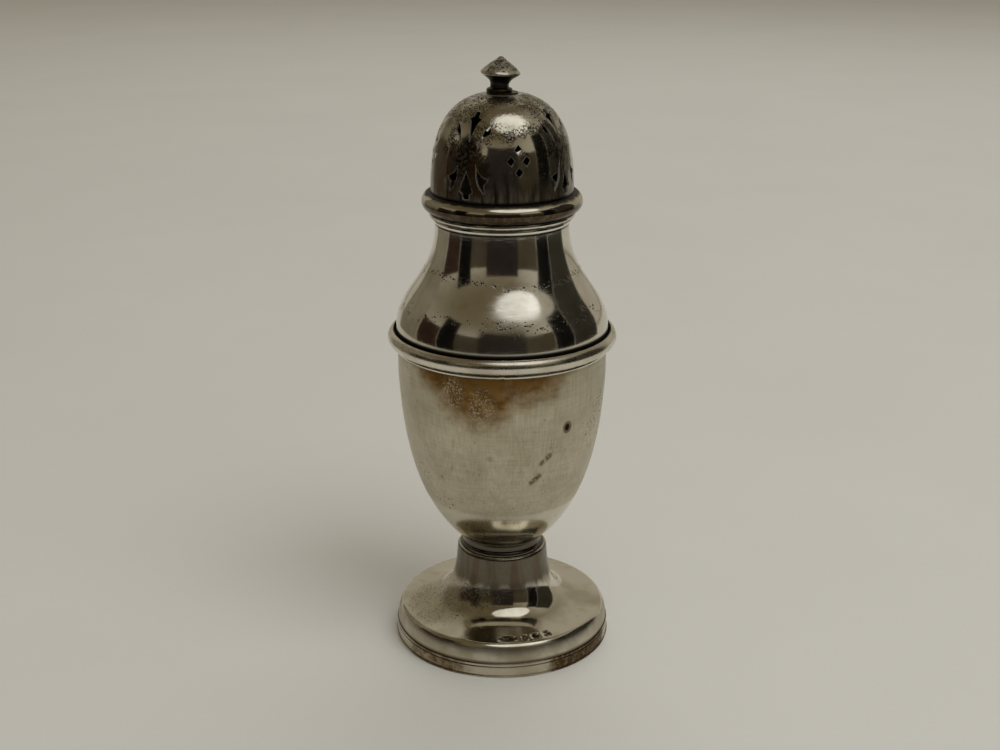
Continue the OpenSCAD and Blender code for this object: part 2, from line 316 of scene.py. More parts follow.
def new_tree(name, wanted):
    tree = bpy.data.node_groups.new(name, "GeometryNodeTree")
    keys = {}
    for label, kind in wanted.items():
        keys[label] = tree.interface.new_socket(label, in_out="INPUT", socket_type="NodeSocket" + kind).identifier
    tree.interface.new_socket("Piece", in_out="OUTPUT", socket_type="NodeSocketGeometry")
    nodes = Nodes(tree)
    return nodes, keys, nodes.add("NodeGroupInput")


def closing_nodes(nodes, mesh, finish):
    smooth = nodes.add("GeometryNodeSetShadeSmooth", Geometry=mesh)[0]
    whole = nodes.add("GeometryNodeRealizeInstances", Geometry=smooth)[0]
    dressed = nodes.add("GeometryNodeSetMaterial", Geometry=whole, Material=finish)[0]
    nodes.add("NodeGroupOutput", _0=dressed)


def turning_tree():
    """A grid with one column for each turn of the outline, welded where it closes."""
    nodes, keys, given = new_tree("turned_on_the_axis", {
        "Outline": "Geometry", "Facets round": "Int", "Weld distance": "Float", "Finish": "Material",
    })
    outline, facets = given["Outline"], given["Facets round"]
    spots = nodes.add("GeometryNodeAttributeDomainSize", {"component": "MESH"}, _0=outline)["Point Count"]
    columns = nodes.add("FunctionNodeIntegerMath", {"operation": "ADD"}, _0=facets, _1=1)[0]
    grid = nodes.add("GeometryNodeMeshGrid", _2=columns, _3=spots)["Mesh"]
    index = nodes.add("GeometryNodeInputIndex")[0]
    column = nodes.add("FunctionNodeIntegerMath", {"operation": "DIVIDE_FLOOR"}, _0=index, _1=spots)[0]
    spot = nodes.add("FunctionNodeIntegerMath", {"operation": "MODULO"}, _0=index, _1=spots)[0]
    place = nodes.add("GeometryNodeInputPosition")[0]
    taken = nodes.add(
        "GeometryNodeSampleIndex", {"data_type": "FLOAT_VECTOR", "domain": "POINT"},
        Geometry=outline, Value=place, Index=spot,
    )[0]
    angle = nodes.math("MULTIPLY", nodes.math("DIVIDE", tau, facets), column)
    turned = nodes.add("ShaderNodeVectorRotate", {"rotation_type": "Z_AXIS"}, Vector=taken, Angle=angle)[0]
    moved = nodes.add("GeometryNodeSetPosition", Geometry=grid, Position=turned)[0]
    welded = nodes.add("GeometryNodeMergeByDistance", Geometry=moved, Distance=given["Weld distance"])[0]
    closing_nodes(nodes, welded, given["Finish"])
    return nodes.tree, keys


def ring_of(nodes, cutter, count, first_turn):
    """Copies of a cutter at even turns about the axis."""
    points = nodes.add("GeometryNodePoints", Count=count)[0]
    index = nodes.add("GeometryNodeInputIndex")[0]
    turn = nodes.math("MULTIPLY_ADD", nodes.math("DIVIDE", tau, count), index, first_turn)
    way = nodes.add("ShaderNodeCombineXYZ", Z=turn)[0]
    shape = nodes.add("GeometryNodeObjectInfo", Object=cutter)["Geometry"]
    copies = nodes.add("GeometryNodeInstanceOnPoints", Points=points, Instance=shape, Rotation=way)[0]
    return nodes.add("GeometryNodeRealizeInstances", Geometry=copies)[0]


def piercing_tree():
    nodes, keys, given = new_tree("pierced_round_the_dome", {
        "Dome": "Geometry", "Spray cutter": "Object", "Lozenge cutter": "Object", "Sprays round": "Int",
        "Spray turn": "Float", "Lozenge turn": "Float", "Finish": "Material",
    })
    count = given["Sprays round"]
    rings = [ring_of(nodes, given[f"{kind} cutter"], count, given[f"{kind} turn"]) for kind in ("Spray", "Lozenge")]
    both = nodes.add("GeometryNodeJoinGeometry", _0=rings)[0]
    cut = nodes.add(
        "GeometryNodeMeshBoolean", {"operation": "DIFFERENCE", "solver": "MANIFOLD"},
        Mesh__1=given["Dome"], Mesh__2=both,
    )["Mesh"]
    closing_nodes(nodes, cut, given["Finish"])
    return nodes.tree, keys


TURNING = turning_tree()
PIERCING = piercing_tree()


def shaped(obj, tree_and_keys, **inputs):
    """Runs a tree on an object and keeps the result as its plain mesh."""
    tree, keys = tree_and_keys
    shaper = obj.modifiers.new(tree.name, "NODES")
    shaper.node_group = tree
    for label, value in inputs.items():
        shaper[keys[label.replace("_", " ")]] = value
    graph = bpy.context.evaluated_depsgraph_get()
    made = bpy.data.meshes.new_from_object(obj.evaluated_get(graph))
    obj.modifiers.remove(shaper)
    old = obj.data
    obj.data = made
    made.name = obj.name
    bpy.data.meshes.remove(old)


def put(name, data):
    obj = bpy.data.objects.new(name, data)
    bpy.context.scene.collection.objects.link(obj)
    return obj


def turned_piece(name, outline, finish, facets=RING_FACETS, closed=True):
    points = [(p[0], 0, p[1]) for p in outline]
    if closed:
        points.append(points[0])
    mesh = bpy.data.meshes.new(name)
    mesh.from_pydata(points, [(i, i + 1) for i in range(len(points) - 1)], [])
    piece = put(name, mesh)
    shaped(piece, TURNING, Facets_round=facets, Weld_distance=WELD_GAP, Finish=finish)
    outward(piece.data)
    return piece


def outward(mesh):
    shell = bmesh.new()
    shell.from_mesh(mesh)
    bmesh.ops.dissolve_degenerate(shell, dist=SLIVER, edges=shell.edges)
    bmesh.ops.recalc_face_normals(shell, faces=shell.faces)
    shell.to_mesh(mesh)
    shell.free()


def seat(piece, body, node, crease=34):
    """Puts a finished piece on its body in place of the solid."""
    if crease:
        piece.data.set_sharp_from_angle(angle=radians(crease))
    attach(piece, body)
    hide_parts(node)


# Silver finishes

CLEAN = (0.74, 0.70, 0.60)
BRIGHT = (0.80, 0.77, 0.69)
PALE = (0.90, 0.87, 0.79)
SATIN = (0.56, 0.51, 0.385)
OLIVE = (0.36, 0.31, 0.20)
STEM_FILM = (0.10, 0.086, 0.060)
AMBER = (0.26, 0.132, 0.026)
BROWN = (0.105, 0.068, 0.034)
TOBACCO = (0.105, 0.046, 0.007)
BLACK = (0.016, 0.013, 0.010)
# Name of the value that marks the dome's cut edges
CUT_EDGE = "cut_edge"
# Share of a pit's radius that its soft edge takes
PIT_EDGE = 0.35
EVEN = (1, 1, 1)

# Patches of wear, of a painted reflection and of a painted highlight: turn from the front in degrees, then radius,
# height, core and fade in millimetres, and where needed the squash along each axis and the weight
BOWL_STAIN = (
    (-33, BOWL_R / MM, 84, 2, 11, (0.8, 1, 1.2)),
    (-13, BOWL_R / MM, 82, 4, 13, (1, 1, 0.9)),
    (14, BOWL_R / MM, 85, 3, 13, EVEN, 0.85),
)
BOWL_CRUST = (
    (-27, BOWL_R / MM, 78.5, 0.8, 4, (0.8, 1, 0.8)),
    (-11, BOWL_R / MM, 75, 1.2, 5, (1.1, 1, 0.75)),
)
BOWL_FLANKS = (
    (-58, 24.2, 52.5, 1, 5),
    (-41, 21.6, 44.6, 2, 4.5, (0.7, 1, 1.3)),
    (70, 26.5, 66, 3, 12),
    (150, 26, 62, 3, 12),
    (-140, 25, 56, 3, 10),
)
FOOT_WEAR = (
    (-72, 17.5, 12.5, 5.5, 9, (1, 0.8, 1)),
    (-24, 14.6, 14.6, 1, 5, (0.6, 1, 1.5)),
    (-40, 13, 19.5, 0.5, 4, (1, 1, 1.2)),
    (68, 12.8, 18.5, 1, 4, (1, 1, 0.7)),
    (165, 19, 11.5, 3, 8),
)
BAND_STAIN = (
    (-38, LIP_R / MM, 2, 6, 10, EVEN, 0.72),
    (48, LIP_R / MM, 2, 7, 9, EVEN, 1.2),
    (140, LIP_R / MM, 2, 8, 10),
    (-130, LIP_R / MM, 2, 6, 10),
)
# brown patches painted for a dark reflection on the dome
DOME_BROWN_REFLECTION = (
    (-62, DOME_R / MM, 133, 1.5, 4, (1, 0.7, 0.45)),
    (-20, DOME_R / MM, 131, 1, 4, (1, 0.7, 0.6)),
)
# rubbed patch of the crown where the lamp's highlight falls, painted paler as a highlight
CROWN_RUB_AND_HIGHLIGHT = (6, 10.5, 143.6, 2.4, 2, (0.6, 1, 1))
SHOULDER_RUB = (4, 26.5, 97.5, 3, 8, (0.8, 1, 1.2))

# Turn in degrees, radius and height in millimetres of the bowl's deep pit, slanting dings and shallow ding
BOWL_PIT = (38.0, 26.8, 67.9)
BOWL_DINGS = ((25.7, 25.8, 60.0), (20.0, 24.7, 54.3))
BOWL_SHALLOW = (-7.3, 26.0, 61.0)


class Finish(Nodes):
    """One finish, built up in layers of colour, gloss and relief, with lengths in millimetres."""

    def __init__(self, name, colour, roughness, metallic=1.0, specular=0.5):
        self.material = bpy.data.materials.new(name)
        self.material.use_nodes = True
        super().__init__(self.material.node_tree)
        self.tree.nodes.clear()
        self.place = self.add("ShaderNodeTexCoord")["Object"]
        self.x, self.y, self.z = self.add("ShaderNodeSeparateXYZ", _0=self.place)
        self.colour = (*colour, 1)
        self.rough = roughness
        self.relief = None
        self.kind = {"Metallic": metallic, "Specular__IOR__Level": specular}

    def folded(self, operation, values):
        found = values[0]
        for value in values[1:]:
            found = self.math(operation, found, value)
        return found

    def times(self, *values):
        return self.folded("MULTIPLY", values)

    def clamped(self, value):
        return self.add("ShaderNodeClamp", _0=value)[0]

    def rise(self, start, end, height=None):
        """A ramp of the height above the table, or of a height that wavers."""
        return self.ramp(height or self.z, start * MM, end * MM)

    def belt(self, z, half, soft, height=None):
        """1 within half a width of a level, fading over soft."""
        away = self.math("ABSOLUTE", self.math("SUBTRACT", height or self.z, z * MM))
        return self.ramp(away, (half + soft) * MM, half * MM)

    def stretched(self, stretch, shift):
        way = (shift, shift * 0.7, shift * 1.3)
        return self.add("ShaderNodeMapping", _0=self.place, Location=way, Scale=stretch)[0]

    def cloud(self, size, stretch=EVEN, detail=3.0, shift=0.0, grain=0.55):
        """Soft noise whose blotches are about one size across."""
        return self.add(
            "ShaderNodeTexNoise", _0=self.stretched(stretch, shift),
            Scale=1 / (size * MM), Detail=detail, Roughness=grain,
        )[0]

    def blotch(self, size, start, end, **cloud):
        return self.ramp(self.cloud(size, **cloud), start, end)

    def frayed(self, mask, size, start, end, amount=1.0, **cloud):
        """A mask whose edge is torn by noise."""
        return self.ramp(self.math("MULTIPLY_ADD", self.cloud(size, **cloud), amount, mask), start, end)

    def wavering(self, size, swing, **cloud):
        """The height above the table, thrown up and down by noise."""
        return self.math("MULTIPLY_ADD", self.math("SUBTRACT", self.cloud(size, **cloud), 0.5), swing * MM, self.z)

    def pits(self, spacing, share, where, shift):
        """Round specks in cells of one spacing, fewer and smaller where a mask falls."""
        cell = self.add("ShaderNodeTexVoronoi", _0=self.stretched(EVEN, shift), Scale=1 / (spacing * MM))
        chance = self.add("ShaderNodeSeparateColor", _0=cell["Color"])[0]
        grown = self.clamped(self.math("SUBTRACT", self.math("ADD", chance, where), 1.0))
        size = self.math("MULTIPLY", grown, share)
        inside = self.math("SUBTRACT", size, cell["Distance"])
        return self.clamped(self.math("DIVIDE", inside, self.math("MULTIPLY_ADD", size, PIT_EDGE, 1e-3)))

    def cracks(self, spacing, width, shift):
        """Fine crooked lines between cells of one spacing."""
        span = spacing * MM
        bend = self.add("ShaderNodeTexNoise", _0=self.place, Scale=1.3 / span)["Color"]
        bent = self.add(
            "ShaderNodeVectorMath", {"operation": "MULTIPLY_ADD"},
            _0=bend, _1=(span, span, span), _2=self.stretched(EVEN, shift),
        )[0]
        edge = self.add("ShaderNodeTexVoronoi", {"feature": "DISTANCE_TO_EDGE"}, _0=bent, Scale=1 / span)
        return self.ramp(edge["Distance"], width, width * 0.35)

    def patch(self, turn, radius, z, core, fade, squash=EVEN, weight=1.0):
        """Full within a distance of one spot, fading outside it."""
        spot = round_the_axis(radians(turn), radius * MM, z * MM)
        gap = self.add("ShaderNodeVectorMath", {"operation": "SUBTRACT"}, _0=self.place, _1=spot)[0]
        gap = self.add("ShaderNodeVectorMath", {"operation": "MULTIPLY"}, _0=gap, _1=squash)[0]
        far = self.add("ShaderNodeVectorMath", {"operation": "LENGTH"}, _0=gap)["Value"]
        return self.partly(self.ramp(far, (core + fade) * MM, core * MM), weight)

    def patches(self, rows):
        return self.folded("MAXIMUM", [self.patch(*row) for row in rows])

    def partly(self, mask, amount):
        return mask if amount == 1.0 else self.times(mask, amount)

    def paint(self, mask, colour, amount=1.0):
        self.colour = self.mix(self.partly(mask, amount), self.colour, (*colour, 1))

    def shade(self, value, dark, light):
        """Multiplies the colour by a grey between dark and light."""
        grey = self.add("ShaderNodeMapRange", Value=value, To__Min=dark, To__Max=light)[0]
        self.colour = self.mix(1.0, self.colour, grey, "MULTIPLY")

    def gloss(self, mask, roughness, amount=1.0):
        mask = self.partly(mask, amount)
        self.rough = self.add("ShaderNodeMix", {"data_type": "FLOAT"}, _0=mask, _2=self.rough, _3=roughness)[0]

    def lift(self, value, height):
        """Adds relief: value times a height in micrometres, negative to sink."""
        step = self.math("MULTIPLY", value, height * MICRON)
        self.relief = self.math("ADD", self.relief, step) if self.relief else step

    def done(self):
        if self.relief:
            self.kind["Normal"] = self.add("ShaderNodeBump", Strength=1.0, Distance=1.0, Height=self.relief)[0]
        metal = self.add("ShaderNodeBsdfPrincipled", Base__Color=self.colour, Roughness=self.rough, **self.kind)[0]
        self.add("ShaderNodeOutputMaterial", _0=metal)
        return self.material


def round_the_axis(angle, radius, z):
    """A point at a turn from the front, positive to the right."""
    return (radius * sin(angle), -radius * cos(angle), z)


def worn_silver(name, colour, roughness, film=0.5, wobble=6):
    """Polished silver with a patchy film, fine scratches and the slight waves of spun sheet."""
    f = Finish(name, colour, roughness)
    f.paint(f.blotch(14, 0.42, 0.68, shift=1.3), OLIVE, film)
    f.paint(f.blotch(4, 0.52, 0.72, shift=4.1, detail=5), OLIVE, film * 0.5)
    scratch = f.cloud(0.35, stretch=(0.12, 0.12, 1.4), detail=2, shift=2.2)
    f.gloss(f.ramp(scratch, 0.5, 0.75), roughness + 0.16, 0.6)
    f.lift(scratch, 0.6)
    f.lift(f.cloud(0.25, stretch=(1, 1, 0.08), detail=2, shift=5.2), 0.5)
    f.lift(f.cloud(9, stretch=(1, 1, 0.6), detail=1, shift=7.7), wobble)
    return f


def pitted(f, spacing, share, where, shift, depth=10):
    specks = f.pits(spacing, share, where, shift)
    f.paint(specks, BLACK, 0.97)
    f.gloss(specks, 0.6)
    f.lift(specks, -depth)


def satin_bowl_finish():
    f = Finish("satin_bowl_silver", SATIN, 0.36)
    # mottled satin, brushed upright and level
    f.shade(f.cloud(16, detail=4, shift=3.0), 0.7, 1.26)
    f.shade(f.cloud(2.6, detail=5, shift=7.4), 0.84, 1.16)
    f.paint(f.blotch(9, 0.5, 0.72, stretch=(1, 1, 0.7), detail=5, shift=0.4), OLIVE, 0.35)
    upright = f.cloud(0.5, stretch=(1, 1, 0.03), detail=2, shift=6.0)
    level = f.cloud(0.4, stretch=(0.05, 0.05, 1), detail=2, shift=8.0)
    f.shade(upright, 0.74, 1.2)
    f.shade(level, 0.8, 1.16)
    f.lift(upright, 3)
    f.lift(level, 2.5)
    f.lift(f.cloud(7, detail=2, shift=9.0), 8)
    # brighter metal round the bottom
    below = f.rise(43.5, 41.5)
    f.gloss(below, 0.16)
    f.paint(below, CLEAN, 0.5)
    # olive blotches that grow denser towards the reed
    f.paint(f.times(f.rise(58, 86), f.blotch(11, 0.3, 0.65, detail=4, shift=5.5)), OLIVE, 0.55)
    # amber and brown tarnish below the reed, left of the front, fading downwards
    stain = f.frayed(f.patches(BOWL_STAIN), 3.2, 0.55, 1.45, 0.9, detail=6, shift=1.0, grain=0.65)
    f.paint(stain, AMBER, 0.9)
    f.paint(f.times(stain, f.blotch(2.4, 0.4, 0.64, stretch=(0.5, 0.5, 1), detail=5, shift=3.3)), TOBACCO, 0.7)
    f.paint(f.times(stain, f.rise(77, 84)), TOBACCO, 0.6)
    f.gloss(stain, 0.45, 0.7)
    # pale crust in two spots of the stain
    crust = f.ramp(f.patches(BOWL_CRUST), 0.15, 0.8)
    crust = f.times(crust, f.blotch(0.5, 0.5, 0.6, detail=4, shift=2.0, grain=0.7))
    f.paint(crust, SATIN, 0.8)
    f.lift(crust, 20)
    # tarnish in the crease under the reed
    f.paint(f.times(f.rise(81.5, 84.2), f.blotch(5, 0.3, 0.6, detail=4, shift=2.5)), BROWN, 0.8)
    # scattered pits on both flanks, and the deep pit with its dark ring
    pitted(f, 0.8, 0.42, f.frayed(f.patches(BOWL_FLANKS), 4, 0.85, 1.3, shift=6.6), 4.0, 20)
    f.paint(f.patch(*BOWL_PIT, 1.15, 0.5, (1, 1, 0.8)), BROWN, 0.75)
    f.paint(f.patch(*BOWL_PIT, 0.6, 0.35, (1, 1, 0.8)), BLACK)
    # small smudges all over, and broken dirt along the dings
    f.paint(f.blotch(1.5, 0.6, 0.76, stretch=(1, 1, 0.6), detail=5, shift=9.3), BROWN, 0.42)
    broken = f.blotch(0.9, 0.3, 0.56, detail=4, shift=4.7)
    for turn, radius, z in BOWL_DINGS:
        for k in (-1, -0.4, 0.2, 0.8):
            f.paint(f.times(f.patch(turn + 2.6 * k, radius, z + 1.1 * k, 0.3, 0.9), broken), BROWN, 0.8)
    f.paint(f.patch(*BOWL_SHALLOW, 0.2, 1.1), BROWN, 0.35)
    return f.done()


def bright_shoulder_finish():
    f = worn_silver("bright_shoulder_silver", BRIGHT, 0.1, film=0.35, wobble=5)
    f.paint(f.rise(98, 88), OLIVE, 0.3)
    # the front of the swell is scratched dull by wiping
    wiped = f.patch(*SHOULDER_RUB)
    strokes = f.cloud(0.5, stretch=(0.1, 0.1, 1), detail=3, shift=11.0)
    f.gloss(f.times(wiped, f.ramp(strokes, 0.2, 0.6)), 0.24, 0.9)
    f.lift(f.times(wiped, strokes), 1.5)
    # two wandering lines of pits, and a few pits elsewhere
    wander = f.wavering(8, 5, detail=2, shift=14)
    upper = f.belt(104.6, 0.1, 1.6, wander)
    pitted(f, 0.55, 0.68, f.times(upper, f.blotch(3, 0.12, 0.5, shift=3)), 1.0, 25)
    lower = f.belt(95.6, 0.5, 3.1, wander)
    pitted(f, 0.62, 0.64, f.times(lower, f.blotch(4, 0.4, 0.58, detail=4, shift=8)), 3.0, 25)
    pitted(f, 1.1, 0.5, f.blotch(10, 0.4, 1.1, shift=12), 6.0)
    # painted shade, with some dirt, where the shoulder meets the bowl and the neck wire
    seam_shade = f.rise(89.5, 88.7)
    f.paint(seam_shade, BLACK, 0.96)
    f.gloss(seam_shade, 0.6)
    f.paint(f.rise(115.9, 116.4), BLACK, 0.9)
    return f.done()


def ring_finish(name, colour, edges, widths, film=0.5, roughness=0.1, black_inside=0.0, shade_below=0.0):
    """A wire or moulding with painted shade along its edges, and inside a radius or below a height where these are
    given.
    """
    f = worn_silver(name, colour, roughness, film=film, wobble=3)
    if shade_below:
        # painted shade on the underside below the height: brown, with black blotches
        underside_shade = f.rise(shade_below / MM + 0.5, shade_below / MM - 0.5)
        f.paint(underside_shade, BROWN, 0.94)
        f.paint(f.times(underside_shade, f.blotch(1.5, 0.3, 0.6, detail=4, shift=6.2)), BLACK, 0.6)
    # painted shade along each edge, with a ragged border
    for z, width in zip(edges, widths):
        ragged = f.wavering(2.5, 1.2 * width, detail=4, shift=z * 90)
        edge_shade = f.belt(z / MM, 0.3 * width, 0.7 * width, ragged)
        f.paint(edge_shade, BLACK, 0.94)
        f.gloss(edge_shade, 0.5)
    if black_inside:
        # painted shade in the gap inside the radius, at the mouth
        far = f.math("SQRT", f.math("ADD", f.times(f.x, f.x), f.times(f.y, f.y)))
        inside = f.ramp(far, black_inside, black_inside - 0.2 * MM)
        f.paint(f.times(inside, f.rise(MOUTH_Z / MM - 0.1, MOUTH_Z / MM)), BLACK)
    return f.done()


def foot_finish():
    f = worn_silver("polished_foot_silver", CLEAN, 0.09, film=0.55, wobble=5)
    worn = f.patches(FOOT_WEAR)
    pitted(f, 0.5, 0.56, f.frayed(worn, 2.2, 0.5, 1.25, detail=4, shift=2.2), 2.0, 15)
    pitted(f, 1.1, 0.45, f.blotch(9, 0.45, 1.1, shift=9), 5.0)
    haze = f.frayed(worn, 5, 0.75, 1.5, detail=4, shift=6)
    f.paint(haze, OLIVE, 0.65)
    f.gloss(haze, 0.3, 0.7)
    # dull film on the stem, in upright streaks
    streaks = f.cloud(2.6, stretch=(1, 1, 0.1), detail=4, shift=3.4)
    stem = f.rise(17.4, 20.4, f.math("MULTIPLY_ADD", streaks, 3 * MM, f.z))
    stem = f.times(stem, f.rise(26.2, 25.7))
    f.paint(stem, STEM_FILM, 0.9)
    f.paint(f.times(stem, f.ramp(streaks, 0.4, 0.62)), BROWN, 0.55)
    f.gloss(stem, 0.3, 0.85)
    # duller metal down the rolled edge
    roll = f.rise(8.8, 7.4)
    f.paint(f.times(roll, f.blotch(5, 0.2, 0.6, detail=4, shift=7.1)), OLIVE, 0.6)
    f.gloss(roll, 0.42, 0.95)
    # dirt in the blank punches
    row = PUNCH_ROW_R / MM, foot_height_at(PUNCH_ROW_R) / MM
    for middle, wide, tall in PUNCHES:
        turn = degrees(asin(middle / PUNCH_ROW_R))
        sunk = f.patch(turn, *row, 0.36 * wide / MM, 0.16 * wide / MM, (1, wide / tall, 1))
        f.paint(f.times(sunk, f.blotch(1.1, 0.36, 0.52, detail=3, shift=middle * 900)), BLACK, 0.9)
    # brown along the foot's lower edge, and painted shade under the bowl: the collar black, browner across its middle
    # and blackest under the bowl's seat
    f.paint(f.rise(5.0, 4.2), BROWN, 0.8)
    f.paint(f.rise(26.05, 26.2), BLACK, 0.85)
    f.paint(f.belt(27.6, 0.2, 0.3), BROWN, 0.5)
    f.paint(f.rise(28.3, 28.8), BLACK, 0.95)
    return f.done()


def foot_band_finish():
    f = worn_silver("foot_band_silver", (0.60, 0.55, 0.44), 0.22, film=0.5, wobble=4)
    stain = f.frayed(f.patches(BAND_STAIN), 2.4, 0.75, 1.6, detail=6, shift=1.7, grain=0.65)
    f.paint(stain, AMBER, 0.7)
    f.paint(f.times(stain, f.blotch(1.1, 0.3, 0.56, detail=5, shift=4.4)), BROWN, 0.9)
    f.gloss(stain, 0.5)
    grit = f.times(stain, f.pits(0.5, 0.8, 0.9, 3.0))
    f.paint(grit, BLACK, 0.6)
    f.lift(grit, -25)
    # dark lines along the lip, in the groove and under the foot's edge
    f.paint(f.belt(0.62, 0.02, 0.14), BROWN, 0.85)
    f.paint(f.belt(3.12, 0.06, 0.14), BLACK, 0.9)
    f.paint(f.rise(3.85, 3.98), BLACK, 0.8)
    return f.done()


def tarnished_dome_finish():
    f = worn_silver("tarnished_dome_silver", (0.66, 0.62, 0.52), 0.10, film=0.55, wobble=9)
    # soot in upright streaks, thicker towards the girdle
    streak = f.cloud(1.1, stretch=(1, 1, 0.12), detail=3, shift=9)
    soot = f.rise(137, 123.5, f.wavering(5, 14, detail=5, shift=2))
    f.paint(soot, BROWN, 0.72)
    f.paint(f.times(soot, f.ramp(streak, 0.45, 0.7)), BLACK, 0.6)
    f.gloss(soot, 0.28, 0.8)
    f.paint(f.times(f.rise(131, 125.5), f.ramp(streak, 0.25, 0.75)), BLACK, 0.85)
    # dirt in the engraved knots
    for turn in SPRAY_TURNS:
        stain = f.patch(degrees(turn), DOME_R / MM, KNOT_Z / MM, 2.0, 4.2, (1, 1, 0.6))
        stain = f.frayed(stain, 1.6, 0.75, 1.35, detail=4, shift=3)
        f.paint(stain, BROWN, 0.8)
        f.paint(f.times(stain, f.blotch(0.8, 0.42, 0.58, detail=3, shift=7)), BLACK, 0.9)
        f.gloss(stain, 0.4, 0.8)
    # a dark reflection painted in brown beside the front spray
    f.paint(f.frayed(f.patches(DOME_BROWN_REFLECTION), 2.4, 0.75, 1.2, detail=5, shift=1.6), BROWN, 0.85)
    # an etched crown, whose front is rubbed smooth, has few pits and is painted paler where the lamp's highlight falls
    crown = f.rise(140.5, 145)
    f.gloss(crown, 0.2, 0.8)
    rubbed_and_highlight = f.patch(*CROWN_RUB_AND_HIGHLIGHT)
    left_dull = f.math("SUBTRACT", 1.0, f.times(rubbed_and_highlight, 0.9))
    f.paint(f.times(crown, left_dull, f.blotch(2.5, 0.36, 0.62, detail=5, shift=5)), BROWN, 0.65)
    etched = f.frayed(f.times(crown, 0.4), 3, 0.42, 0.95, detail=4, shift=4)
    pitted(f, 0.42, 0.9, f.times(etched, left_dull), 1.0, 20)
    # painted highlight: paler metal over the rubbed patch
    f.paint(rubbed_and_highlight, CLEAN, 0.7)
    f.gloss(rubbed_and_highlight, 0.1, 0.9)
    # pits and fine veins round the middle
    middle = f.times(f.belt(139.2, 2.2, 3.5), f.blotch(4, 0.42, 0.6, detail=4, shift=6))
    pitted(f, 0.45, 0.9, f.times(middle, 0.85), 3.0, 15)
    veined = f.frayed(f.times(middle, 0.5), 2.5, 0.6, 0.85, detail=3, shift=8)
    f.paint(f.times(f.cracks(0.8, 0.16, 2.0), veined), BLACK, 0.85)
    f.lift(f.times(crown, f.cloud(0.6, detail=4, shift=3)), 40)
    # painted shade in the crease just above the girdle
    f.paint(f.rise(125.4, 124.7), BLACK, 0.95)
    # pale metal along the cut edges: rubbed silver, with a painted highlight on the sheet's thickness
    edge = f.ramp(f.add("ShaderNodeAttribute", {"attribute_name": CUT_EDGE})["Fac"], 0.35, 0.85)
    f.paint(edge, PALE, 0.9)
    f.gloss(edge, 0.42)
    return f.done()


def pierced_edge_finish():
    # pale walls of the holes: bright cut metal, with a painted highlight where the sheet's thickness catches the light
    f = Finish("pierced_edge_silver", PALE, 0.5)
    f.shade(f.cloud(1.2), 0.6, 1.15)
    return f.done()


def inner_dome_finish():
    # the inside painted nearly black: tarnish, darkened further as painted shade
    f = Finish("inner_dome_silver", (0.05, 0.042, 0.03), 0.5)
    f.shade(f.cloud(4, detail=4), 0.6, 1.2)
    return f.done()


def finial_finish():
    f = worn_silver("tarnished_finial_silver", (0.62, 0.59, 0.52), 0.2, film=0.4, wobble=2)
    # painted shade: the stem and base under the brim painted black
    underside_shade = f.rise(154.0, 153.6)
    f.paint(underside_shade, BLACK, 0.95)
    f.gloss(underside_shade, 0.35)
    f.paint(f.times(f.rise(150.7, 149.9), f.blotch(1.2, 0.4, 0.6, detail=3, shift=2)), BROWN, 0.9)
    head = f.rise(154.3, 154.8)
    f.paint(f.times(head, f.blotch(1.1, 0.4, 0.66, detail=5, shift=1)), BROWN, 0.7)
    pitted(f, 0.42, 0.95, f.times(head, f.blotch(1.5, 0.25, 0.6, detail=4)), 1.0, 40)
    f.gloss(head, 0.36, 0.8)
    f.lift(f.times(head, f.cloud(0.5, detail=4, shift=3)), 60)
    return f.done()


def bezel_finish():
    f = worn_silver("satin_bezel_silver", SATIN, 0.32)
    f.paint(f.rise(84, 85.2), BROWN, 0.6)
    return f.done()


# Pieces of the body

def make_foot_rim_band():
    top, inner = FOOT_SEAT_Z, BAND_R - BAND_WALL
    lip, groove, groove_h, groove_drop = 0.6 * MM, 0.16 * MM, 0.35 * MM, 0.7 * MM
    outline = [at(inner, 0)] + half_round_outline(BAND_R, LIP_R, 0, lip, 10)
    for i in range(9):
        outline.append(at(BAND_R - groove * sin(pi * i / 8) ** 2, top - groove_drop - groove_h * (1 - i / 8)))
    outline += eased([(BAND_R, top - groove_drop), (BAND_R, top, 0.34 * MM), (inner, top)])[1:]
    piece = turned_piece("foot_rim_band_turned", outline, foot_band_finish(), SHELL_FACETS)
    seat(piece, "body", "foot_rim_band")


def make_foot_shell(finish):
    outside = foot_line()
    ceiling = FOOT_TOP_Z - SHEET
    inside = [p for p in inside_of(outside) if FOOT_SEAT_Z < p.y < ceiling]
    corner = at(FOOT_TOP_R - FOOT_TOP_ROUND, FOOT_TOP_Z - FOOT_TOP_ROUND)
    outline = outside + arc(corner, FOOT_TOP_ROUND, 0, pi / 2, 10)[1:]
    outline += [at(STEM_BORE_R, FOOT_TOP_Z), at(STEM_BORE_R, ceiling), at(inside[-1].x, ceiling)]
    outline += thinned(inside, 30)[::-1] + [at(inside[0].x, FOOT_SEAT_Z)]
    piece = turned_piece("foot_shell_spun", outline, finish, FOOT_FACETS)
    punch_foot(piece.data, outside)
    seat(piece, "body", "foot_shell")


